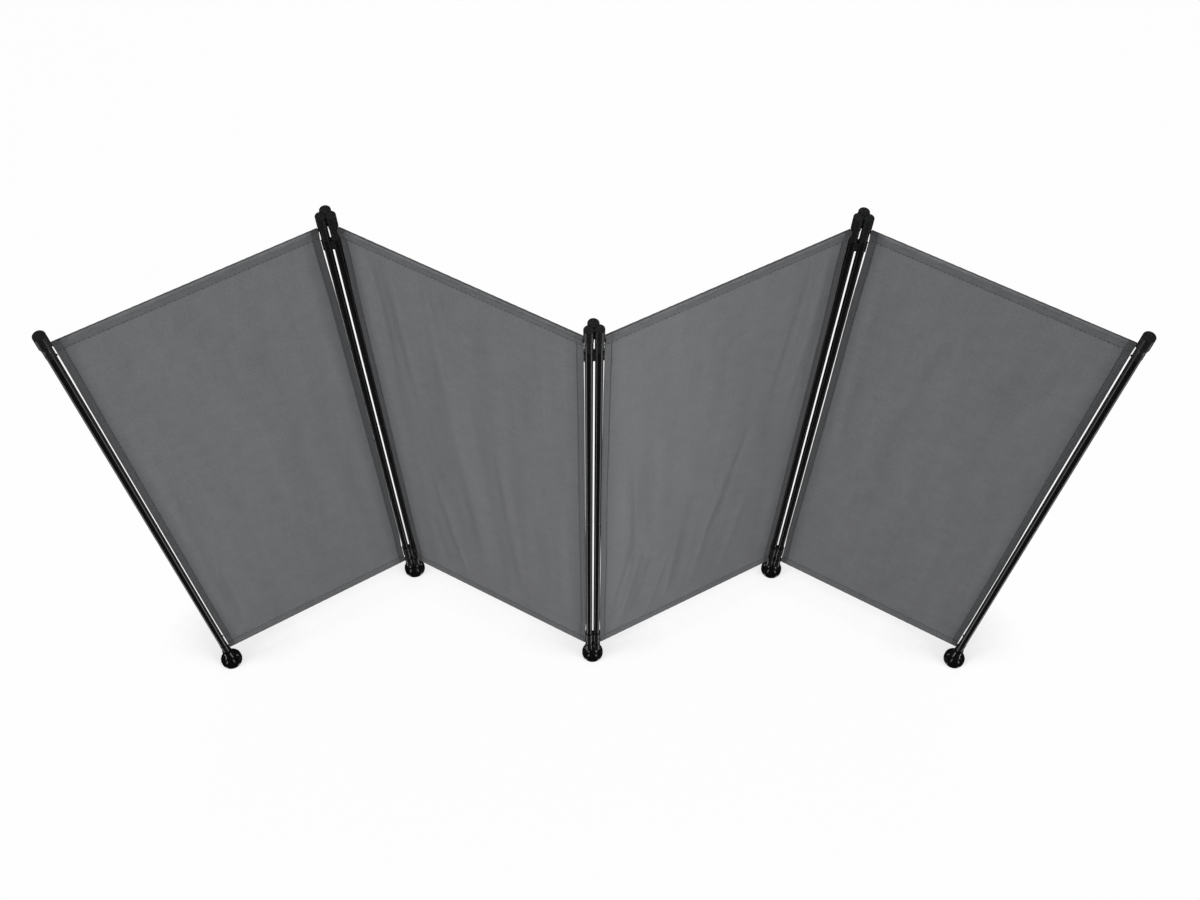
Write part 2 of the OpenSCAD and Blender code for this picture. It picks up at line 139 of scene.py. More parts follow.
def mesh_piece(name, points, faces, body, material, uv=None):
    """A piece from points and faces, whose uv is given for each point."""
    mesh = bpy.data.meshes.new(name)
    mesh.from_pydata(points.reshape(-1, 3), [], faces)
    if uv is not None:
        layer = mesh.uv_layers.new(name="cloth")
        corners = uv.reshape(-1, 2)[faces.reshape(-1)].astype(np.float32)
        layer.data.foreach_set("uv", corners.reshape(-1))
    mesh.polygons.foreach_set("use_smooth", np.ones(len(faces), bool))
    mesh.materials.append(material)
    mesh.update()
    piece = bpy.data.objects.new(name, mesh)
    bpy.context.scene.collection.objects.link(piece)
    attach(piece, body)
    return piece


# ---------------------------------------------------------------- materials


class Flow:
    """One value on its way through a material; sums and products of flows add Math nodes."""

    def __init__(self, finish, socket):
        self.finish, self.socket = finish, socket

    def _math(self, operation, a, b):
        return self.finish.node("ShaderNodeMath", {"operation": operation}, {0: a, 1: b})

    def __add__(self, other): return self._math("ADD", self, other)
    def __radd__(self, other): return self._math("ADD", other, self)
    def __sub__(self, other): return self._math("SUBTRACT", self, other)
    def __rsub__(self, other): return self._math("SUBTRACT", other, self)
    def __mul__(self, other): return self._math("MULTIPLY", self, other)
    def __rmul__(self, other): return self._math("MULTIPLY", other, self)


class Finish:
    """A material and the one method that adds its nodes."""

    def __init__(self, name, world=False):
        self.material = (bpy.data.worlds if world else bpy.data.materials).new(name)
        self.material.use_nodes = True
        if world:
            bpy.context.scene.world = self.material
        self.tree = self.material.node_tree
        self.tree.nodes.clear()

    def node(self, kind, settings=None, sockets=None, out=0):
        """A node with its settings, then the values or links of its sockets; gives what
        comes out of it."""
        made = self.tree.nodes.new(kind)
        for key, value in (settings or {}).items():
            setattr(made, key, value)
        for key, value in (sockets or {}).items():
            socket = made.inputs[key]
            if isinstance(value, Flow):
                self.tree.links.new(value.socket, socket)
            elif isinstance(value, tuple) and socket.type == "RGBA":
                socket.default_value = (*value, 1)
            else:
                socket.default_value = value
        return Flow(self, made.outputs[out] if len(made.outputs) else None)

    def mix(self, share, a, b):
        """Colour a where share is 0 and colour b where it is 1."""
        return self.node("ShaderNodeMix", {"data_type": "RGBA"}, {0: share, 6: a, 7: b}, out=2)

    def smooth(self, value, low, high, start=0.0, end=1.0):
        """Value carried from low..high to start..end with soft ends."""
        return self.node("ShaderNodeMapRange", {"interpolation_type": "SMOOTHSTEP"},
                         {0: value, 1: low, 2: high, 3: start, 4: end})

    def math(self, operation, *values):
        return self.node("ShaderNodeMath", {"operation": operation}, dict(enumerate(values)))

    def noise(self, place, scale, detail=2.0, roughness=0.5):
        return self.node("ShaderNodeTexNoise", {}, {"Vector": place, "Scale": scale,
                         "Detail": detail, "Roughness": roughness})

    def beat(self, run, pitch):
        """Wave along a seam: 0 between two stitches and 1 at the middle of each."""
        return 0.5 - 0.5 * self.math("COSINE", run * (math.tau / pitch))

    def place(self):
        return self.node("ShaderNodeTexCoord", out="Object")

    def parts(self, vector):
        split = self.node("ShaderNodeSeparateXYZ", {}, {0: vector})
        return [Flow(self, out) for out in split.socket.node.outputs]

    def point(self, x, y, z=0.0):
        return self.node("ShaderNodeCombineXYZ", {}, {0: x, 1: y, 2: z})

    def stretched(self, x, y, paces, detail):
        """Noise that changes paces[0] times in a metre of x and paces[1] times in one of y."""
        return self.noise(self.point(x * paces[0], y * paces[1]), 1.0, detail)

    def bump(self, height, distance, strength):
        return self.node("ShaderNodeBump", {}, {"Height": height, "Distance": distance,
                                                "Strength": strength})

    def drift(self, share, grey, darker, lighter):
        """A grey that goes from its darker to its lighter tone with share."""
        dark, light = (tuple(tone * c for c in grey) for tone in (darker, lighter))
        return self.mix(share, dark, light)

    def surface(self, sockets):
        shader = self.node("ShaderNodeBsdfPrincipled", {}, sockets)
        self.node("ShaderNodeOutputMaterial", {}, {"Surface": shader})
        return self.material


CLOTH_GREY = (0.150, 0.153, 0.159)
THREAD_GREY = (0.014, 0.0143, 0.015)
SIDE_HEM = 17 * MM
HEM_DEPTH = 30 * MM
STITCH_PITCH = 9.6 * MM
SEAM_END = 2 * MM
HEM_STITCH_OFF = 0.5 * MM     # from the hem's seam line to the middle of its stitches
SIDE_STITCH_OFF = 2.2 * MM    # the same from the raw edge of the side turn-in
BAR_SHADE_HALF = 4.2 * MM          # half the width of the painted shade over a bar, along the cloth
# Painted shade at the left and right edge of each panel: the doubled cloth, darker as no light
# comes through it, and the shade beside the tubes. Least light reaches the edges at the two rear
# posts.
PAINTED_SIDE_SHADE = {"left_outer": (0.58, 0.40), "left_inner": (0.40, 0.88),
              "right_inner": (0.85, 0.40), "right_outer": (0.42, 0.58)}
# Painted light and shade across each panel: how light its cloth is at its left and right side.
PAINTED_LIGHT_ACROSS = {"left_outer": (0.95, 0.97), "left_inner": (0.97, 0.97),
         "right_inner": (1.06, 0.84), "right_outer": (0.96, 0.84)}
# Painted shade: tones of the hems, where no light comes through the doubled cloth, of the cloth
# over the bars and of the web just past a seam, beside a hem's edge.
TOP_HEM_SHADE = 0.80
BOTTOM_HEM_SHADE = 0.94
BAR_SHADE_TONE = 0.45
PAST_SEAM_SHADE = 0.94
# Share of the painted side shade that stops at the turn-in's edge; the rest fades out further in.
NEAR_SHARE = 0.58
# Yarns in a metre, and how often the long noises change in a metre of x and of y.
YARNS = 1400.0
SLUBS_ACROSS = (12.0, 900.0)
SLUBS_UP = (900.0, 9.0)
STREAKS = (42.0, 1.6)
# HEM_SHADE_PATCHES: patches of painted shade in the hems, how often they change in a metre of x
# and of y.
HEM_SHADE_PATCHES = (34.0, 60.0)
# Even noises of the cloth: scale, detail and roughness.
CLOUDS = (19.0, 5.0, 0.9)
GRAIN = (210.0, 2.0, 0.8)
# How much each of these moves the cloth's tone about its mean.
MEAN_TONE = 0.80
SLUB_DEPTH = 0.10
CLOUD_DEPTH = 0.40
GRAIN_DEPTH = 0.60
STREAK_DEPTH = 0.13
WEAVE_DEPTH = 0.05
# Needle holes and the painted shade of the puckers round the stitches.
HOLE_AND_SHADE_DEPTH = 0.8
SIDE_SEAM_SHARE = 0.25        # how plain the side seams' holes are beside the hems'
YARN_BUMP = 0.12 * MM


def stitch_count(length):
    """Whole stitches in a seam."""
    return int(length / STITCH_PITCH)


def even_pitch(length):
    """Pitch that spreads a whole number of stitches over a seam."""
    return length / stitch_count(length)


def cloth_finish(name, width, marks):
    """Plain weave of polyester yarn. The uv is in metres: x across the panel and y along the
    cut, so warp and weft are sines of them. Slubs are long thin noise. Painted light and shade:
    each panel is painted lighter or darker from side to side; the doubled cloth at the sides and
    in the hems is painted darker, as no light comes through it, the sides darker still beside
    the tubes; painted shade lies over the top bar and low on the bottom bar; the seams' needle
    holes are darkened together with the painted shade of their puckers. marks are the y of both
    seams and of the middles of both bands of painted shade over the bars."""
    f = Finish(name + "_cloth")
    x, y, _ = f.parts(f.node("ShaderNodeUVMap", {"uv_map": "cloth"}))
    warp = f.math("SINE", x * (YARNS * math.pi))
    weft = f.math("SINE", y * (YARNS * math.pi))
    weave = warp * weft
    ribs = f.math("ABSOLUTE", warp) + f.math("ABSOLUTE", weft)
    slubs = f.stretched(x, y, SLUBS_ACROSS, 1.0) + f.stretched(x, y, SLUBS_UP, 1.0)
    place = f.point(x, y)
    tone = (MEAN_TONE + SLUB_DEPTH * slubs + WEAVE_DEPTH * weave
            + CLOUD_DEPTH * (f.noise(place, *CLOUDS) - 0.5)
            + GRAIN_DEPTH * (f.noise(place, *GRAIN) - 0.5)
            + STREAK_DEPTH * (f.stretched(x, y, STREAKS, 2.0) - 0.5))
    # Painted light and shade from the panel's left side to its right.
    tone = tone * f.smooth(x, 0.0, width, *PAINTED_LIGHT_ACROSS[name])

    # Painted shade along a side: darkest at the edge; part of it stops at the turn-in's edge and
    # the rest fades out further in.
    def beside(distance, edge_shade):
        near = f.smooth(distance, SIDE_HEM * 0.8, SIDE_HEM * 1.1, NEAR_SHARE, 0.0)
        far = f.smooth(distance, SIDE_HEM * 0.7, SIDE_HEM * 2.8, 1 - NEAR_SHARE, 0.0)
        return 1 - (1 - edge_shade) * (near + far)

    left_shade, right_shade = PAINTED_SIDE_SHADE[name]
    tone = tone * beside(x, left_shade) * beside(width - x, right_shade)

    low_seam, high_seam, low_bar_shade, high_bar_shade = marks
    # Painted shade of the hems, in patches, where no light comes through the doubled cloth.
    shade_patches = 0.2 + 1.6 * f.stretched(x, y, HEM_SHADE_PATCHES, 2.0)
    for into_web, hem_shade in ((high_seam - y, TOP_HEM_SHADE), (y - low_seam, BOTTOM_HEM_SHADE)):
        in_hem = f.smooth(into_web, -0.3 * MM, 0.3 * MM, 1.0, 0.0)
        tone = tone * (1 - (1 - hem_shade) * in_hem * shade_patches)
    # Painted shade on the web just past each hem's seam.
    into_web = f.math("MINIMUM", y - low_seam, high_seam - y)
    tone = tone * f.smooth(into_web, 0.0, 9 * MM, PAST_SEAM_SHADE, 1.0)
    # Painted shade over the top bar and under the bottom bar.
    off_low, off_high = (f.math("ABSOLUTE", y - fold) for fold in (low_bar_shade, high_bar_shade))
    in_bar_shade = f.smooth(f.math("MINIMUM", off_low, off_high), BAR_SHADE_HALF * 0.6, BAR_SHADE_HALF, 1.0, 0.0)
    tone = tone * (1 - (1 - BAR_SHADE_TONE) * in_bar_shade)

    # Needle holes along the seams, darkened together with the painted shade of the puckers round
    # them.
    low_end, high_end = low_seam + SEAM_END, high_seam - SEAM_END
    hole_x = f.beat(x - SEAM_END, even_pitch(width - 2 * SEAM_END))
    hole_y = f.beat(y - low_end, even_pitch(high_end - low_end))
    off_hem_seam = f.math("ABSOLUTE", into_web + HEM_STITCH_OFF)
    on_hem_seam = f.smooth(off_hem_seam, 0.5 * MM, 1.7 * MM, 1.0, 0.0)
    edge = f.math("MINIMUM", x, width - x)
    off_side_seam = f.math("ABSOLUTE", edge - (SIDE_HEM - SIDE_STITCH_OFF))
    on_side_seam = f.smooth(off_side_seam, 0.5 * MM, 1.5 * MM, 1.0, 0.0)
    sewn = (on_hem_seam * hole_x * hole_x
            + SIDE_SEAM_SHARE * on_side_seam * (0.4 + 0.6 * hole_y))
    tone = tone * (1 - HOLE_AND_SHADE_DEPTH * f.math("MINIMUM", sewn, 1.0))

    height = ribs * 0.5 + weave * 0.35 + slubs * 0.5
    return f.surface({"Base Color": f.mix(tone, (0, 0, 0), CLOTH_GREY), "Roughness": 0.86,
                      "Normal": f.bump(height, YARN_BUMP, 0.55), "Specular IOR Level": 0.25,
                      "Sheen Weight": 0.12, "Sheen Roughness": 0.5,
                      "Sheen Tint": (0.8, 0.8, 0.82)})


def thread_finish():
    """Sewing thread: fine noise stands for its twist, in tone and in height."""
    f = Finish("sewing_thread")
    twist = f.noise(f.place(), 2600.0, 1.0)
    return f.surface({"Base Color": f.drift(twist, THREAD_GREY, 0.75, 1.25), "Roughness": 0.62,
                      "Sheen Weight": 0.1, "Normal": f.bump(twist, 0.05 * MM, 0.4)})


def steel_finish(name, grey, rough, metallic):
    """Fine orange peel from noise; broad and small noise dull the gloss in patches."""
    f = Finish(name)
    place = f.place()
    peel = f.noise(place, 900.0, 2.0)
    broad = f.noise(place, 9.0, 3.0)
    rubbed = f.noise(place, 60.0, 4.0, 0.65)
    return f.surface({"Base Color": f.drift(broad, grey, 0.8, 1.2), "Metallic": metallic,
                      "Roughness": rough + 0.08 * (broad - 0.5) + 0.08 * (rubbed - 0.5),
                      "Normal": f.bump(peel, 0.04 * MM, 0.35)})


def plastic_finish(name, grey, rough, grain, depth, coat):
    """Moulded plastic: spark-eroded grain from noise, a slight drift of its grey and finger
    marks in its gloss."""
    f = Finish(name)
    place = f.place()
    pits = f.noise(place, grain, 3.0, 0.6)
    marks = f.noise(place, 75.0, 4.0, 0.7)
    colour = f.drift(f.noise(place, 22.0, 2.0), grey, 0.82, 1.2)
    return f.surface({"Base Color": colour, "Roughness": rough + 0.12 * (marks - 0.5),
                      "Coat Weight": coat, "Coat Roughness": 0.12,
                      "Normal": f.bump(pits, depth, 0.5)})


coated_steel = steel_finish("black_powder_coat", (0.0035, 0.0035, 0.004), 0.16, metallic=0.0)
bare_steel = steel_finish("plain_steel", (0.34, 0.34, 0.35), 0.34, metallic=1.0)
hub_plastic = plastic_finish("hub_plastic", (0.0085, 0.0088, 0.0088), rough=0.27,
                             grain=1500.0, depth=0.05 * MM, coat=0.0)
foot_plastic = plastic_finish("foot_plastic", (0.003, 0.003, 0.0034), rough=0.13,
                              grain=260.0, depth=0.02 * MM, coat=0.2)
thread = thread_finish()

FINISHES = {"coated_steel": coated_steel, "bare_steel": bare_steel,
            "hub_plastic": hub_plastic, "foot_plastic": foot_plastic}
for part in frame["record"]["subparts"]:
    if part["material_slot"] in FINISHES:
        node = frame["nodes"][part["node"]]
        node.data.materials.clear()
        node.data.materials.append(FINISHES[part["material_slot"]])

# ---------------------------------------------------------------- cloth

BAR_TOP_Z = 1659.8 * MM
CLOTH_TOP_Z = 1665.6 * MM
CLOTH_BOTTOM_Z = 89.4 * MM
TOP_SEAM_Z = CLOTH_TOP_Z - HEM_DEPTH
BOTTOM_SEAM_Z = CLOTH_BOTTOM_Z + HEM_DEPTH
CLOTH_T = 0.5 * MM
LAYER = 0.62 * MM             # between the middles of two layers that lie on each other
HEM_LAYER = 1.15 * LAYER      # the same at the flaps of the hems
POCKET_R = 5.5 * MM
FLAP = 7 * MM                 # cloth that hangs on past a hem's seam, behind the web
SIDE_GAP = 3.3 * MM
GRID_STEP = 5.2 * MM
HEM_BILLOW = 0.6              # share of the web's billow that the hems follow
TINY = 1e-9


def ease(t):
    """0 below 0, 1 above 1, and a soft S between them."""
    t = np.clip(t, 0, 1)
    return t * t * (3 - 2 * t)


def crease(x, z, start, end, width, height):
    """A soft ridge along the line from start to end: a bell curve of the distance from the
    line, that fades in over the first and out over the last quarter of it."""
    run = end - start
    t = ((x - start[0]) * run[0] + (z - start[1]) * run[1]) / (run @ run)
    off = ((x - start[0]) * run[1] - (z - start[1]) * run[0]) / math.hypot(*run)
    return height * np.exp(-(off / width) ** 2) * ease(t * 4) * ease((1 - t) * 4)


def ripples(x, z, seed, waves, longest, shortest):
    """Sum of plane waves in seeded directions, whose lengths run from longest to shortest and
    whose heights shrink with them; the waves run mostly across, so their folds hang upright."""
    rng = np.random.default_rng(seed)
    total = np.zeros_like(x)
    for share in np.linspace(0, 1, waves):
        length = longest * (shortest / longest) ** share
        tilt = rng.normal(0, 0.5)
        phase = rng.uniform(0, math.tau)
        total += length / longest * np.sin(
            math.tau * (x * math.cos(tilt) + z * math.sin(tilt)) / length + phase)
    return total


# How far the cloth's left and right edges reach out to the tubes between the clips, in
# millimetres at the heights of REACH_Z; at the clips they keep clear of them.
REACH_Z = np.array([178, 260, 600, 1000, 1400, 1588]) * MM
REACH = {
    "left_outer": ((0, 0.7, 0.9, 1.0, 0.8, 0), (0, 2.5, 2.8, 2.8, 2.7, 0)),
    "left_inner": ((0, 2.4, 2.7, 2.8, 2.8, 0), (0, 2.7, 2.1, 1.0, 0.8, 0)),
    "right_inner": ((0, 1.6, 0.8, 2.7, 1.2, 0), (0, 2.6, 2.8, 2.8, 2.7, 0)),
    "right_outer": ((0, 1.8, 1.5, 0.9, 2.0, 0), (0, 1.1, 1.7, 0.0, 0.2, 0)),
}
REACH_SHARE = 70 * MM         # how far into the cloth an edge's move is felt


def reach_out(name, x, z, width):
    """x moved outwards near both edges, by an amount that glides from height to height."""
    span = np.clip(np.searchsorted(REACH_Z, z) - 1, 0, len(REACH_Z) - 2)
    t = ease((z - REACH_Z[span]) / (REACH_Z[span + 1] - REACH_Z[span]))
    left, right = (np.array(side) * MM for side in REACH[name])
    x_left = (left[span] * (1 - t) + left[span + 1] * t) * ease(1 - x / REACH_SHARE)
    x_right = (right[span] * (1 - t) + right[span + 1] * t) * ease(1 - (width - x) / REACH_SHARE)
    return x - x_left + x_right


# Creases of each panel: start and end as shares of its width and height from the bottom left
# corner, then half width and height in millimetres (minus is away from the front).
CREASES = {
    "left_outer": [
        ((0.07, 0.02), (0.10, 0.62), 13, -1.8), ((0.90, 0.45), (0.86, 0.98), 24, 1.4),
        ((0.05, 0.80), (0.30, 0.96), 26, 1.2), ((0.55, 0.05), (0.75, 0.40), 45, 1.8),
        ((0.12, 0.01), (0.15, 0.30), 9, 1.3), ((0.20, 0.30), (0.70, 0.62), 60, -2.0)],
    "left_inner": [
        ((0.46, 0.02), (0.34, 0.94), 18, -3.4), ((0.66, 0.01), (0.57, 0.66), 14, -3.0),
        ((0.54, 0.05), (0.45, 0.80), 16, 2.4), ((0.13, 0.66), (0.11, 1.00), 8, 2.2),
        ((0.22, 0.62), (0.18, 1.00), 9, -2.2), ((0.80, 0.01), (0.72, 0.45), 26, 2.2),
        ((0.93, 0.02), (0.90, 0.60), 14, 1.6), ((0.32, 0.00), (0.22, 0.40), 10, -2.6),
        ((0.20, 0.01), (0.15, 0.26), 9, 1.8), ((0.38, 0.72), (0.35, 1.00), 9, 1.6),
        ((0.06, 0.70), (0.05, 1.00), 7, -1.6)],
    "right_inner": [
        ((0.11, 0.04), (0.15, 0.66), 24, -6.5), ((0.17, 0.24), (0.14, 0.66), 6, 3.0),
        ((0.05, 0.00), (0.17, 0.40), 7, 4.0), ((0.10, 0.00), (0.22, 0.34), 7, -3.6),
        ((0.15, 0.00), (0.30, 0.30), 8, 3.4), ((0.26, 0.00), (0.36, 0.26), 9, -3.0),
        ((0.80, 0.62), (0.86, 1.00), 8, 2.8), ((0.88, 0.55), (0.93, 1.00), 8, -3.0),
        ((0.94, 0.60), (0.97, 1.00), 7, 2.4), ((0.56, 0.20), (0.72, 0.60), 9, 4.2),
        ((0.50, 0.04), (0.64, 0.50), 11, -4.0), ((0.66, 0.00), (0.78, 0.40), 12, -3.2),
        ((0.40, 0.02), (0.50, 0.50), 16, 3.6), ((0.26, 0.30), (0.24, 0.72), 16, 3.0),
        ((0.36, 0.02), (0.42, 0.34), 8, -2.4)],
    "right_outer": [
        ((0.10, 0.45), (0.07, 0.98), 16, 1.6), ((0.94, 0.02), (0.90, 0.50), 13, -1.5),
        ((0.35, 0.10), (0.52, 0.50), 45, 1.8), ((0.68, 0.70), (0.92, 0.94), 26, -1.5),
        ((0.30, 0.55), (0.38, 0.90), 14, 1.3), ((0.72, 0.05), (0.70, 0.40), 18, 1.3)],
}


# Waves of the cloth: how many there are, the longest and the shortest.
UPRIGHT_WAVES = (6, 240 * MM, 60 * MM)
CLOUDING = (5, 150 * MM, 35 * MM)
UPRIGHT = 0.35                # how fast the upright waves change up the cloth, beside across
INNER_SLACK, OUTER_SLACK = 1.0 * MM, 0.7 * MM
CLOUDING_HEIGHT = 0.32 * MM
PUCKER = 0.3 * MM
PUCKER_UP, PUCKER_ACROSS = 23 * MM, 19 * MM


def billow(name, x, z, width):
    """How far the cloth stands out of its plane: creases, upright waves and clouding, all of
    them fading out at the seams, plus the small puckers that the stitching pulls up, which
    are sines along the seams with an uneven beat. In the hems it is what it is at the seam."""
    z = np.clip(z, BOTTOM_SEAM_Z, TOP_SEAM_Z)
    size = np.array([width, TOP_SEAM_Z - BOTTOM_SEAM_Z])
    foot = np.array([0, BOTTOM_SEAM_Z])
    seed = PANELS.index(name) + 11
    slack = INNER_SLACK if "inner" in name else OUTER_SLACK
    side = np.minimum(x, width - x)
    seam = np.minimum(z - BOTTOM_SEAM_Z, TOP_SEAM_Z - z)
    total = ripples(x, z * UPRIGHT, seed, *UPRIGHT_WAVES) * slack
    total += ripples(x, z, seed + 40, *CLOUDING) * CLOUDING_HEIGHT
    total *= ease(side / (45 * MM)) * ease(seam / (55 * MM))
    folds = np.zeros_like(x)
    for start, end, half, tall in CREASES[name]:
        folds += crease(x, z, foot + start * size, foot + end * size, half * MM, tall * MM)
    total += folds * ease(side / (22 * MM)) * ease(seam / (20 * MM))
    pucker_up = np.sin(math.tau * z / PUCKER_UP + 2.5 * np.sin(z * 31 + seed))
    pucker_across = np.sin(math.tau * x / PUCKER_ACROSS + 2.5 * np.sin(x * 37 + seed))
    beside_seam = np.exp(-np.abs(side - SIDE_HEM) / (7 * MM)) * (seam > 0)
    above_seam = np.exp(-np.maximum(seam, 0) / (12 * MM)) * ease(side / (25 * MM))
    return total + PUCKER * (pucker_up * beside_seam + pucker_across * above_seam)


# Middles of the painted shade round the bars, as angles from the back.
HIGH_BAR_SHADE_AT = math.radians(58)
LOW_BAR_SHADE_AT = math.radians(150)


def hem_path():
    """Cloth's path from the flap behind the bottom seam, round the bottom bar, up the front,
    round the top bar and down to the flap behind the top seam, as points (y, z) with the
    normal towards the inside of the hems, its length, which part it is (-1 bottom hem, 0 web,
    1 top hem) and the lengths at both seams and at the middles of both bands of painted shade
    over the bars. Each hem is a drop: two straight lines from the seam that touch a circle
    round the bar."""
    d = BAR_TOP_Z - TOP_SEAM_Z
    half = math.asin(POCKET_R / d)
    touch = math.cos(half) * d
    straight = np.linspace(0, touch, 8)[1:-1]
    arc = np.linspace(math.pi + half, -half, 26)
    circle = np.stack([POCKET_R * np.cos(arc), BAR_TOP_Z + POCKET_R * np.sin(arc)], -1)
    front = np.stack([-straight * math.sin(half), TOP_SEAM_Z + straight * math.cos(half)], -1)
    back = front[::-1] * [-1, 1]
    flap = np.stack([np.zeros(4), np.linspace(TOP_SEAM_Z, TOP_SEAM_Z - FLAP, 4)], -1)
    top = np.concatenate([front, circle, back, flap])
    middle_z = (CLOTH_TOP_Z + CLOTH_BOTTOM_Z) / 2
    bottom = (top * [1, -1] + [0, 2 * middle_z])[::-1]
    count = int((TOP_SEAM_Z - BOTTOM_SEAM_Z) / GRID_STEP)
    web = np.stack([np.zeros(count), np.linspace(BOTTOM_SEAM_Z, TOP_SEAM_Z, count)], -1)
    at_high = len(front) + int(np.argmin(np.abs(arc - HIGH_BAR_SHADE_AT)))
    at_low = len(front) + int(np.argmin(np.abs(arc - LOW_BAR_SHADE_AT)))
    path = np.concatenate([bottom, web, top])
    kind = np.concatenate([np.full(len(bottom), -1), np.zeros(count), np.ones(len(top))])
    ahead = np.gradient(path, axis=0)
    ahead /= np.linalg.norm(ahead, axis=1)[:, None]
    inward = np.stack([ahead[:, 1], -ahead[:, 0]], -1)
    run = np.concatenate([[0], np.cumsum(np.linalg.norm(np.diff(path, axis=0), axis=1))])
    low_seam, high_seam = len(bottom), len(bottom) + count
    marks = run[[low_seam, high_seam - 1, low_seam - 1 - at_low, high_seam + at_high]].tolist()
    return path, inward, run, kind, marks


def side_fold(width):
    """Cloth across the panel: from the raw edge behind the left side, round the left fold,
    across, round the right fold and back in; x, how far it lies inside, and its length."""
    turn_r = LAYER / 2
    back = np.linspace(SIDE_HEM, turn_r, 4)
    around = np.linspace(math.pi / 2, 3 * math.pi / 2, 7)[1:-1]
    across = np.linspace(turn_r, width - turn_r, int(width / GRID_STEP))
    left_x = np.concatenate([back, turn_r + turn_r * np.cos(around)])
    left_in = np.concatenate([np.full(4, LAYER), turn_r + turn_r * np.sin(around)])
    x = np.concatenate([left_x, across, width - left_x[::-1]])
    inside = np.concatenate([left_in, np.zeros(len(across)), left_in[::-1]])
    run = np.concatenate([[0], np.cumsum(np.hypot(np.diff(x), np.diff(inside)))])
    return x, inside, run


def make_cloth(name):
    """One panel's cloth: a grid of side_fold across by hem_path up. Each point goes inside the
    hems by its turn-in and out of the plane by billow, less in the hems than in the web. The
    flaps lie flat behind the web, a layer off it and higher where they cross the sides."""
    left_r = END_TUBE_R if name == "left_outer" else HINGE_TUBE_R
    right_r = END_TUBE_R if name == "right_outer" else HINGE_TUBE_R
    x0 = left_r + SIDE_GAP
    width = SPAN - right_r - SIDE_GAP - x0
    path, inward, run_up, kind, marks = hem_path()
    x, inside, run_across = side_fold(width)
    shape = (len(x), len(path))
    gx = np.broadcast_to(x[:, None], shape)
    turned_in = np.broadcast_to(inside[:, None], shape)
    path_y, path_z = path.T
    out = billow(name, gx, np.broadcast_to(path_z, shape), width)
    behind_top = (kind > 0) & (path_z <= TOP_SEAM_Z + TINY)
    behind_bottom = (kind < 0) & (path_z >= BOTTOM_SEAM_Z - TINY)
    flap = (behind_top | behind_bottom) & (path_y > -TINY)
    near_side = ease((SIDE_HEM * 1.25 - np.minimum(gx, width - gx)) / (SIDE_HEM * 0.25))
    lift = np.where(flap, HEM_LAYER + 1.1 * LAYER * near_side, 0)
    y_in_hem = path_y + turned_in * np.where(flap, 1, inward[:, 0]) + out * HEM_BILLOW + lift
    y = np.where(kind == 0, path_y + turned_in + out, y_in_hem)
    z = path_z + turned_in * np.where(flap, 0, inward[:, 1])
    reached = reach_out(name, gx, np.broadcast_to(path_z, shape), width)
    points = in_panel(name, x0 + reached, y, z)
    uv = np.stack([gx, np.broadcast_to(run_up, shape)], -1)
    cloth = mesh_piece(name + "_cloth", points, grid_faces(*shape), name + "_panel",
                       cloth_finish(name, width, marks), uv)
    wall = cloth.modifiers.new("thickness", "SOLIDIFY")
    wall.thickness = CLOTH_T
    wall.offset = 0
    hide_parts(name + "_fabric")
    return cloth, x0, width, (float(run_across[-1]), float(run_up[-1]))


# ---------------------------------------------------------------- stitches

STITCH = 5.6 * MM
STITCH_R = 0.7 * MM
# A stitch's five rings from end to end: where they lie in shares of its length, and how far
# they bow out and how thick they are in shares of its radius.
RING_AT = np.array([-0.5, -0.38, 0.0, 0.38, 0.5])
RING_OUT = np.array([-0.55, 0.15, 0.35, 0.15, -0.55])
RING_THICK = np.array([0.25, 0.85, 1.0, 0.85, 0.25])
RING_SIDES = 6


def stitch_row(name, width, seam, y_off, facing):
    """Stitches along a straight seam from point to point, laid on the cloth: columns of x, z,
    y, the seam's direction in x and z, and the side of the cloth that they are on."""
    a, b = np.array(seam)
    length = np.linalg.norm(b - a)
    count = stitch_count(length)
    t = (np.arange(count) + 0.5) / count
    x, z = (a + (b - a) * t[:, None]).T
    y = billow(name, x, z, width) + y_off
    ahead_x, ahead_z = np.broadcast_to((b - a) / length, (count, 2)).T
    return np.stack([reach_out(name, x, z, width), z, y, ahead_x, ahead_z, np.full(count, facing)])


def stitch_shapes(name, x0, rows):
    """Every stitch is a thread bowed over the cloth: a six-sided tube along its seam, thick in
    the middle, that dives in at both ends. All stitches of a panel are one set of arrays."""
    x, z, y, ahead_x, ahead_z, facing = np.concatenate(rows, axis=1)[:, :, None, None]
    angle = np.arange(RING_SIDES) * math.tau / RING_SIDES
    along_seam = RING_AT[:, None] * STITCH
    ring_x = RING_THICK[:, None] * STITCH_R * np.sin(angle)
    ring_y = RING_OUT[:, None] * STITCH_R + RING_THICK[:, None] * STITCH_R * np.cos(angle)
    points = in_panel(name, x0 + x + ahead_x * along_seam + ahead_z * ring_x,
                      y + facing * ring_y, z + ahead_z * along_seam - ahead_x * ring_x)
    stitches, rings, sides = points.shape[:3]
    one = grid_faces(rings, sides, ring=True)[:, [0, 3, 2, 1]]
    first = np.arange(stitches) * rings * sides
    return points, (one + first[:, None, None]).reshape(-1, 4)


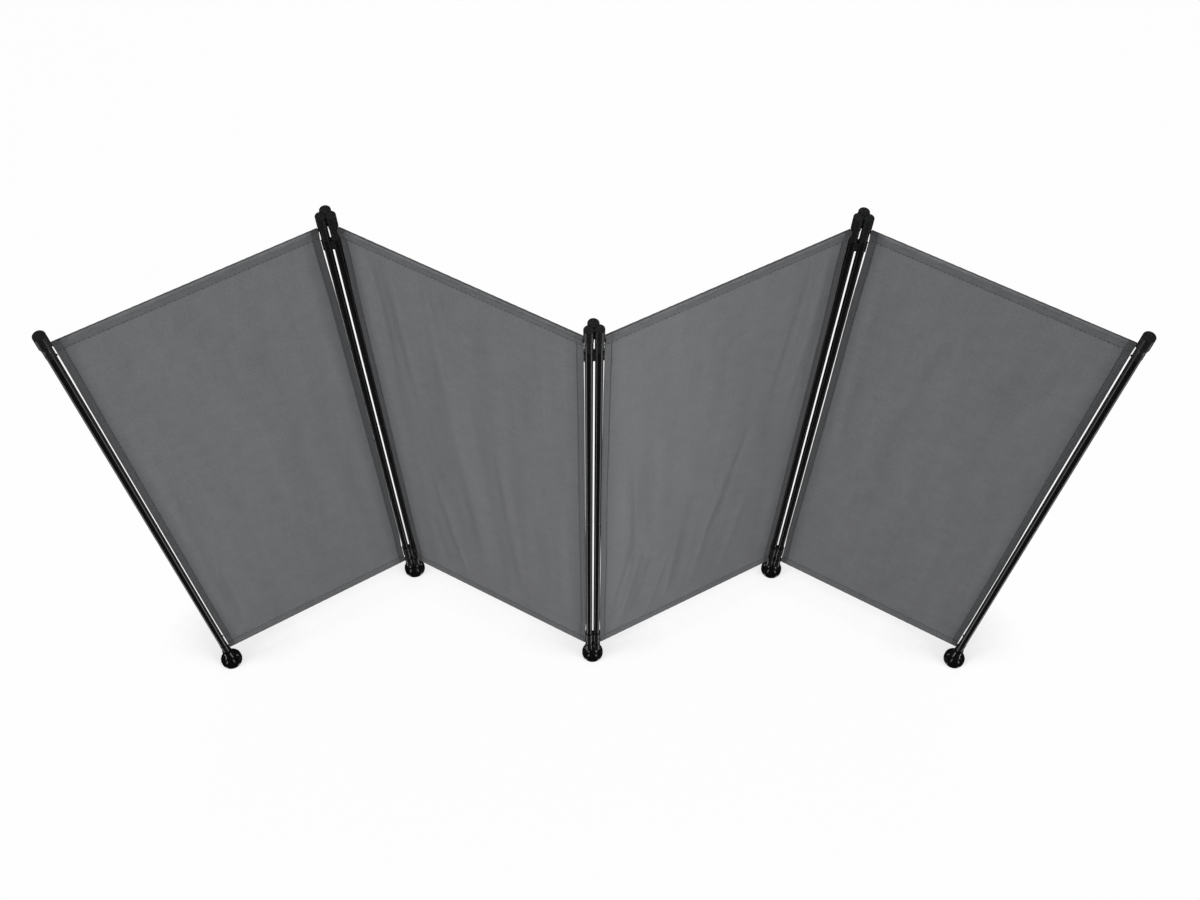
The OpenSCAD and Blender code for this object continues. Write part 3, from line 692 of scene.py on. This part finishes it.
def make_stitches(name, x0, width):
    """Both hem seams and both side seams, each sewn through: a row in front and one behind."""
    left, right = SIDE_HEM - SIDE_STITCH_OFF, width - SIDE_HEM + SIDE_STITCH_OFF
    high, low = TOP_SEAM_Z + HEM_STITCH_OFF, BOTTOM_SEAM_Z - HEM_STITCH_OFF
    far_x, low_z, high_z = width - SEAM_END, BOTTOM_SEAM_Z + SEAM_END, TOP_SEAM_Z - SEAM_END
    seams = [(((SEAM_END, high), (far_x, high)), HEM_LAYER),
             (((SEAM_END, low), (far_x, low)), HEM_LAYER),
             (((left, low_z), (left, high_z)), LAYER),
             (((right, low_z), (right, high_z)), LAYER)]
    rows = []
    for seam, layers in seams:
        rows.append(stitch_row(name, width, seam, -CLOTH_T / 2, -1.0))
        rows.append(stitch_row(name, width, seam, layers + CLOTH_T / 2, 1.0))
    points, faces = stitch_shapes(name, x0, rows)
    return mesh_piece(name + "_stitching", points, faces, name + "_panel", thread)


for panel in PANELS:
    cloth, x0, width, flat = make_cloth(panel)
    seams = make_stitches(panel, x0, width)

# ---------------------------------------------------------------- floor, world and lamps


def in_radians(*degrees):
    return [math.radians(d) for d in degrees]


EYE_WHITE = 0.99
WORLD_LIGHT = 0.27
ROOM_GLOW = 0.02
# Strips at the left and right: azimuths over which they come in and go out, counted from
# straight in front, and the height at which they end.
SIDE_GLOW = 1.0
SIDE_FROM, SIDE_TO = in_radians(56, 66), in_radians(80, 92)
SIDE_TOP = (-0.80, -0.73)
# Strips in the four corners: the same, counted from straight in front or behind.
CORNER_GLOW = 0.8
CORNER_FROM, CORNER_TO = in_radians(36, 42), in_radians(50, 56)
CORNER_FOOT, CORNER_TOP = (-0.66, -0.56), (0.0, 0.15)
# A round lamp on each side: its direction, and the squares of the distances from it over
# which it fades.
SPOT_GLOW = 1.5
SPOT_X, SPOT_Y, SPOT_Z = 0.67, -0.64, -0.38
SPOT_EDGE = (0.004, 0.03)


def white_room():
    """World: even grey light for the object and white for the eye. Mirrors see a dark studio
    with a bright strip low down and a small lamp on both sides, and an upright strip in each
    of the four corners. All their edges are soft."""
    f = Finish("studio", world=True)
    x, y, z = f.parts(f.node("ShaderNodeTexCoord"))
    azimuth = f.math("ABSOLUTE", f.math("ARCTAN2", x, 0 - y))
    side = f.smooth(azimuth, *SIDE_FROM) * f.smooth(azimuth, *SIDE_TO, 1.0, 0.0)
    low = f.smooth(z, *SIDE_TOP, 1.0, 0.0)
    azimuth = f.math("ABSOLUTE", f.math("ARCTAN2", x, f.math("ABSOLUTE", y)))
    corner = f.smooth(azimuth, *CORNER_FROM) * f.smooth(azimuth, *CORNER_TO, 1.0, 0.0)
    upright = f.smooth(z, *CORNER_FOOT) * f.smooth(z, *CORNER_TOP, 1.0, 0.0)
    off_x, off_y, off_z = f.math("ABSOLUTE", x) - SPOT_X, y - SPOT_Y, z - SPOT_Z
    apart = off_x * off_x + off_y * off_y + off_z * off_z
    spots = f.smooth(apart, *SPOT_EDGE, SPOT_GLOW, 0.0)
    mirrored = SIDE_GLOW * side * low + CORNER_GLOW * corner * upright + spots + ROOM_GLOW
    ray = f.node("ShaderNodeLightPath")
    rays = {out.name: Flow(f, out) for out in ray.socket.node.outputs}
    seen = f.math("MAXIMUM", rays["Is Camera Ray"], rays["Is Transmission Ray"])
    level = WORLD_LIGHT + rays["Is Glossy Ray"] * (mirrored - WORLD_LIGHT)
    level = level + seen * (EYE_WHITE - level)
    sky = f.node("ShaderNodeBackground", {}, {"Color": (1, 1, 1), "Strength": level})
    f.node("ShaderNodeOutputWorld", {}, {"Surface": sky})


FLOOR_HALF = 30.0
FLOOR_Z = -0.4 * MM
FLOOR_WHITE = 0.99
FLOOR_SHARE = 0.985           # how much of what the eye sees of the floor is its own glow
# The painted shadow below the hems: how far its rays reach and lean to the front, how many there
# are, and how dark it is where one of them meets something; then the same round the feet.
BAND_REACH = 0.2
LEAN = math.radians(75)
BAND_RAYS = 16
BAND_DEPTH = 0.16
CONTACT_REACH = 0.03
CONTACT_RAYS = 8
CONTACT_DEPTH = 0.1


def white_floor():
    """Floor that the eye sees nearly white, with a shadow painted into its glow: what stands close
    behind and above a point of it, seen from the front, darkens it, which is the soft band below
    the hems. Round the feet, where it is shut in, it is painted a little darker still."""
    side = np.linspace(-FLOOR_HALF, FLOOR_HALF, 3)
    x, y = np.meshgrid(side, side, indexing="ij")
    mesh = bpy.data.meshes.new("floor")
    points = np.stack([x, y, np.full_like(x, FLOOR_Z)], -1).reshape(-1, 3)
    mesh.from_pydata(points, [], grid_faces(3, 3)[:, ::-1])
    floor = bpy.data.objects.new("floor", mesh)
    bpy.context.scene.collection.objects.link(floor)
    f = Finish("floor_white")
    forward = f.point(0.0, -math.sin(LEAN), math.cos(LEAN))
    open_ahead = f.node("ShaderNodeAmbientOcclusion", {"samples": BAND_RAYS},
                        {"Distance": BAND_REACH, "Normal": forward}, out=1)
    open_round = f.node("ShaderNodeAmbientOcclusion", {"samples": CONTACT_RAYS},
                        {"Distance": CONTACT_REACH}, out=1)
    # Painted shadow in the floor's glow.
    band = f.math("MINIMUM", (1 - open_ahead) * BAND_RAYS, 1.0)
    light = (1 - BAND_DEPTH * band) * (1 - CONTACT_DEPTH * (1 - open_round))
    shade = f.mix(light, (0, 0, 0), (FLOOR_WHITE, FLOOR_WHITE, FLOOR_WHITE))
    glow = f.node("ShaderNodeEmission", {}, {"Color": shade, "Strength": 1.0})
    matt = f.node("ShaderNodeBsdfDiffuse", {}, {"Color": (0.92, 0.92, 0.92)})
    share = f.node("ShaderNodeLightPath", out="Is Camera Ray") * FLOOR_SHARE
    both = f.node("ShaderNodeMixShader", {}, {0: share, 1: matt, 2: glow})
    f.node("ShaderNodeOutputMaterial", {}, {"Surface": both})
    mesh.materials.append(f.material)
    floor.visible_glossy = False


LAMP_AIM = Vector((0, 0, 0.8))


def lamp(name, at, size, watts):
    """Soft rectangular lamp aimed at the middle of the screen; mirrors don't show it."""
    data = bpy.data.lights.new(name, "AREA")
    data.shape = "RECTANGLE"
    data.size, data.size_y = size
    data.energy = watts
    made = bpy.data.objects.new(name, data)
    made.location = at
    made.rotation_euler = (LAMP_AIM - Vector(at)).to_track_quat("-Z", "Y").to_euler()
    made.visible_glossy = False
    bpy.context.scene.collection.objects.link(made)


white_room()
white_floor()
lamp("key", at=(5.0, -4.4, 4.6), size=(1.4, 1.6), watts=303)
lamp("fill", at=(-5.0, -4.4, 4.6), size=(1.4, 1.6), watts=242)
lamp("top", at=(0.2, 1.6, 4.6), size=(3.0, 1.2), watts=130)

bpy.context.scene.view_settings.view_transform = "Standard"
